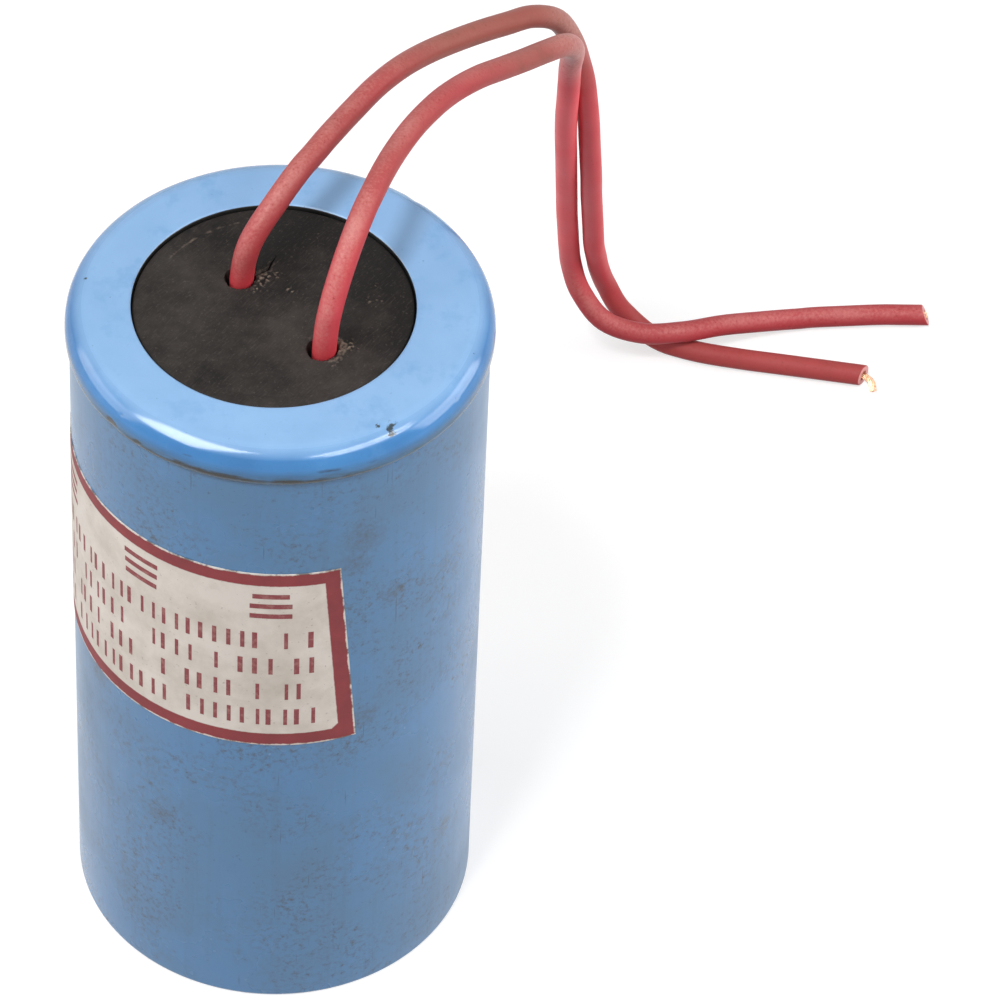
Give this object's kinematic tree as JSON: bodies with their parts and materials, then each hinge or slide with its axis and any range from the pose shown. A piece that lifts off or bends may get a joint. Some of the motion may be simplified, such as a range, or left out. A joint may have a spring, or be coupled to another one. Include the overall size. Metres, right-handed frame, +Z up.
{
  "type": "motor run capacitor",
  "caption": "Upright round blue capacitor can with a press-on cap ring, black rubber sealing disc, cream paper label and red insulated leads that arch over and lie on the ground.",
  "frame": {"origin": "centre of the case's base, on the surface that it stands on", "axes": "+Z up along the can's axis, -Y towards the viewer, so that the leads lie towards +X and +Y"},
  "size_m": [0.1157, 0.1231, 0.115],
  "materials": {
    "case_plastic": "moulded mid-blue plastic, semi-gloss, scuffed and grimy",
    "cap_plastic": "moulded mid-blue plastic, glossier on the shoulder, chipped at the lower edge",
    "sealing_rubber": "matt warm-black rubber, dusty and scratched",
    "label_paper": "aged cream paper with a dark red border, bare field",
    "lead_pvc": "red PVC insulation, dulled by brown grime",
    "copper": "bare copper, tarnished",
    "metallised_film": "tightly wound metallised film",
    "core_plastic": "natural plastic tube",
    "zinc_spray": "sprayed zinc, matt and grainy",
    "wrap_film": "amber polyester film",
    "insulating_board": "brown pressed insulating board",
    "solder": "dull tin solder",
    "resin": "dark brown potting resin"
  },
  "bodies": {
    "root": {"case_cup": "case_plastic", "cap_ring": "cap_plastic", "sealing_disc": "sealing_rubber", "paper_label": "label_paper", "lead_left": "lead_pvc", "lead_right": "lead_pvc", "lead_left_strands": "copper", "lead_left_tail": "copper", "lead_right_tail": "copper", "film_winding": "metallised_film", "core_tube": "core_plastic", "top_end_spray": "zinc_spray", "bottom_end_spray": "zinc_spray", "outer_wrap": "wrap_film", "bottom_pad": "insulating_board", "top_card": "insulating_board", "riser_strip": "copper", "lead_left_solder": "solder", "lead_right_solder": "solder", "bottom_solder": "solder", "potting_compound": "resin"}
  },
  "joints": []
}
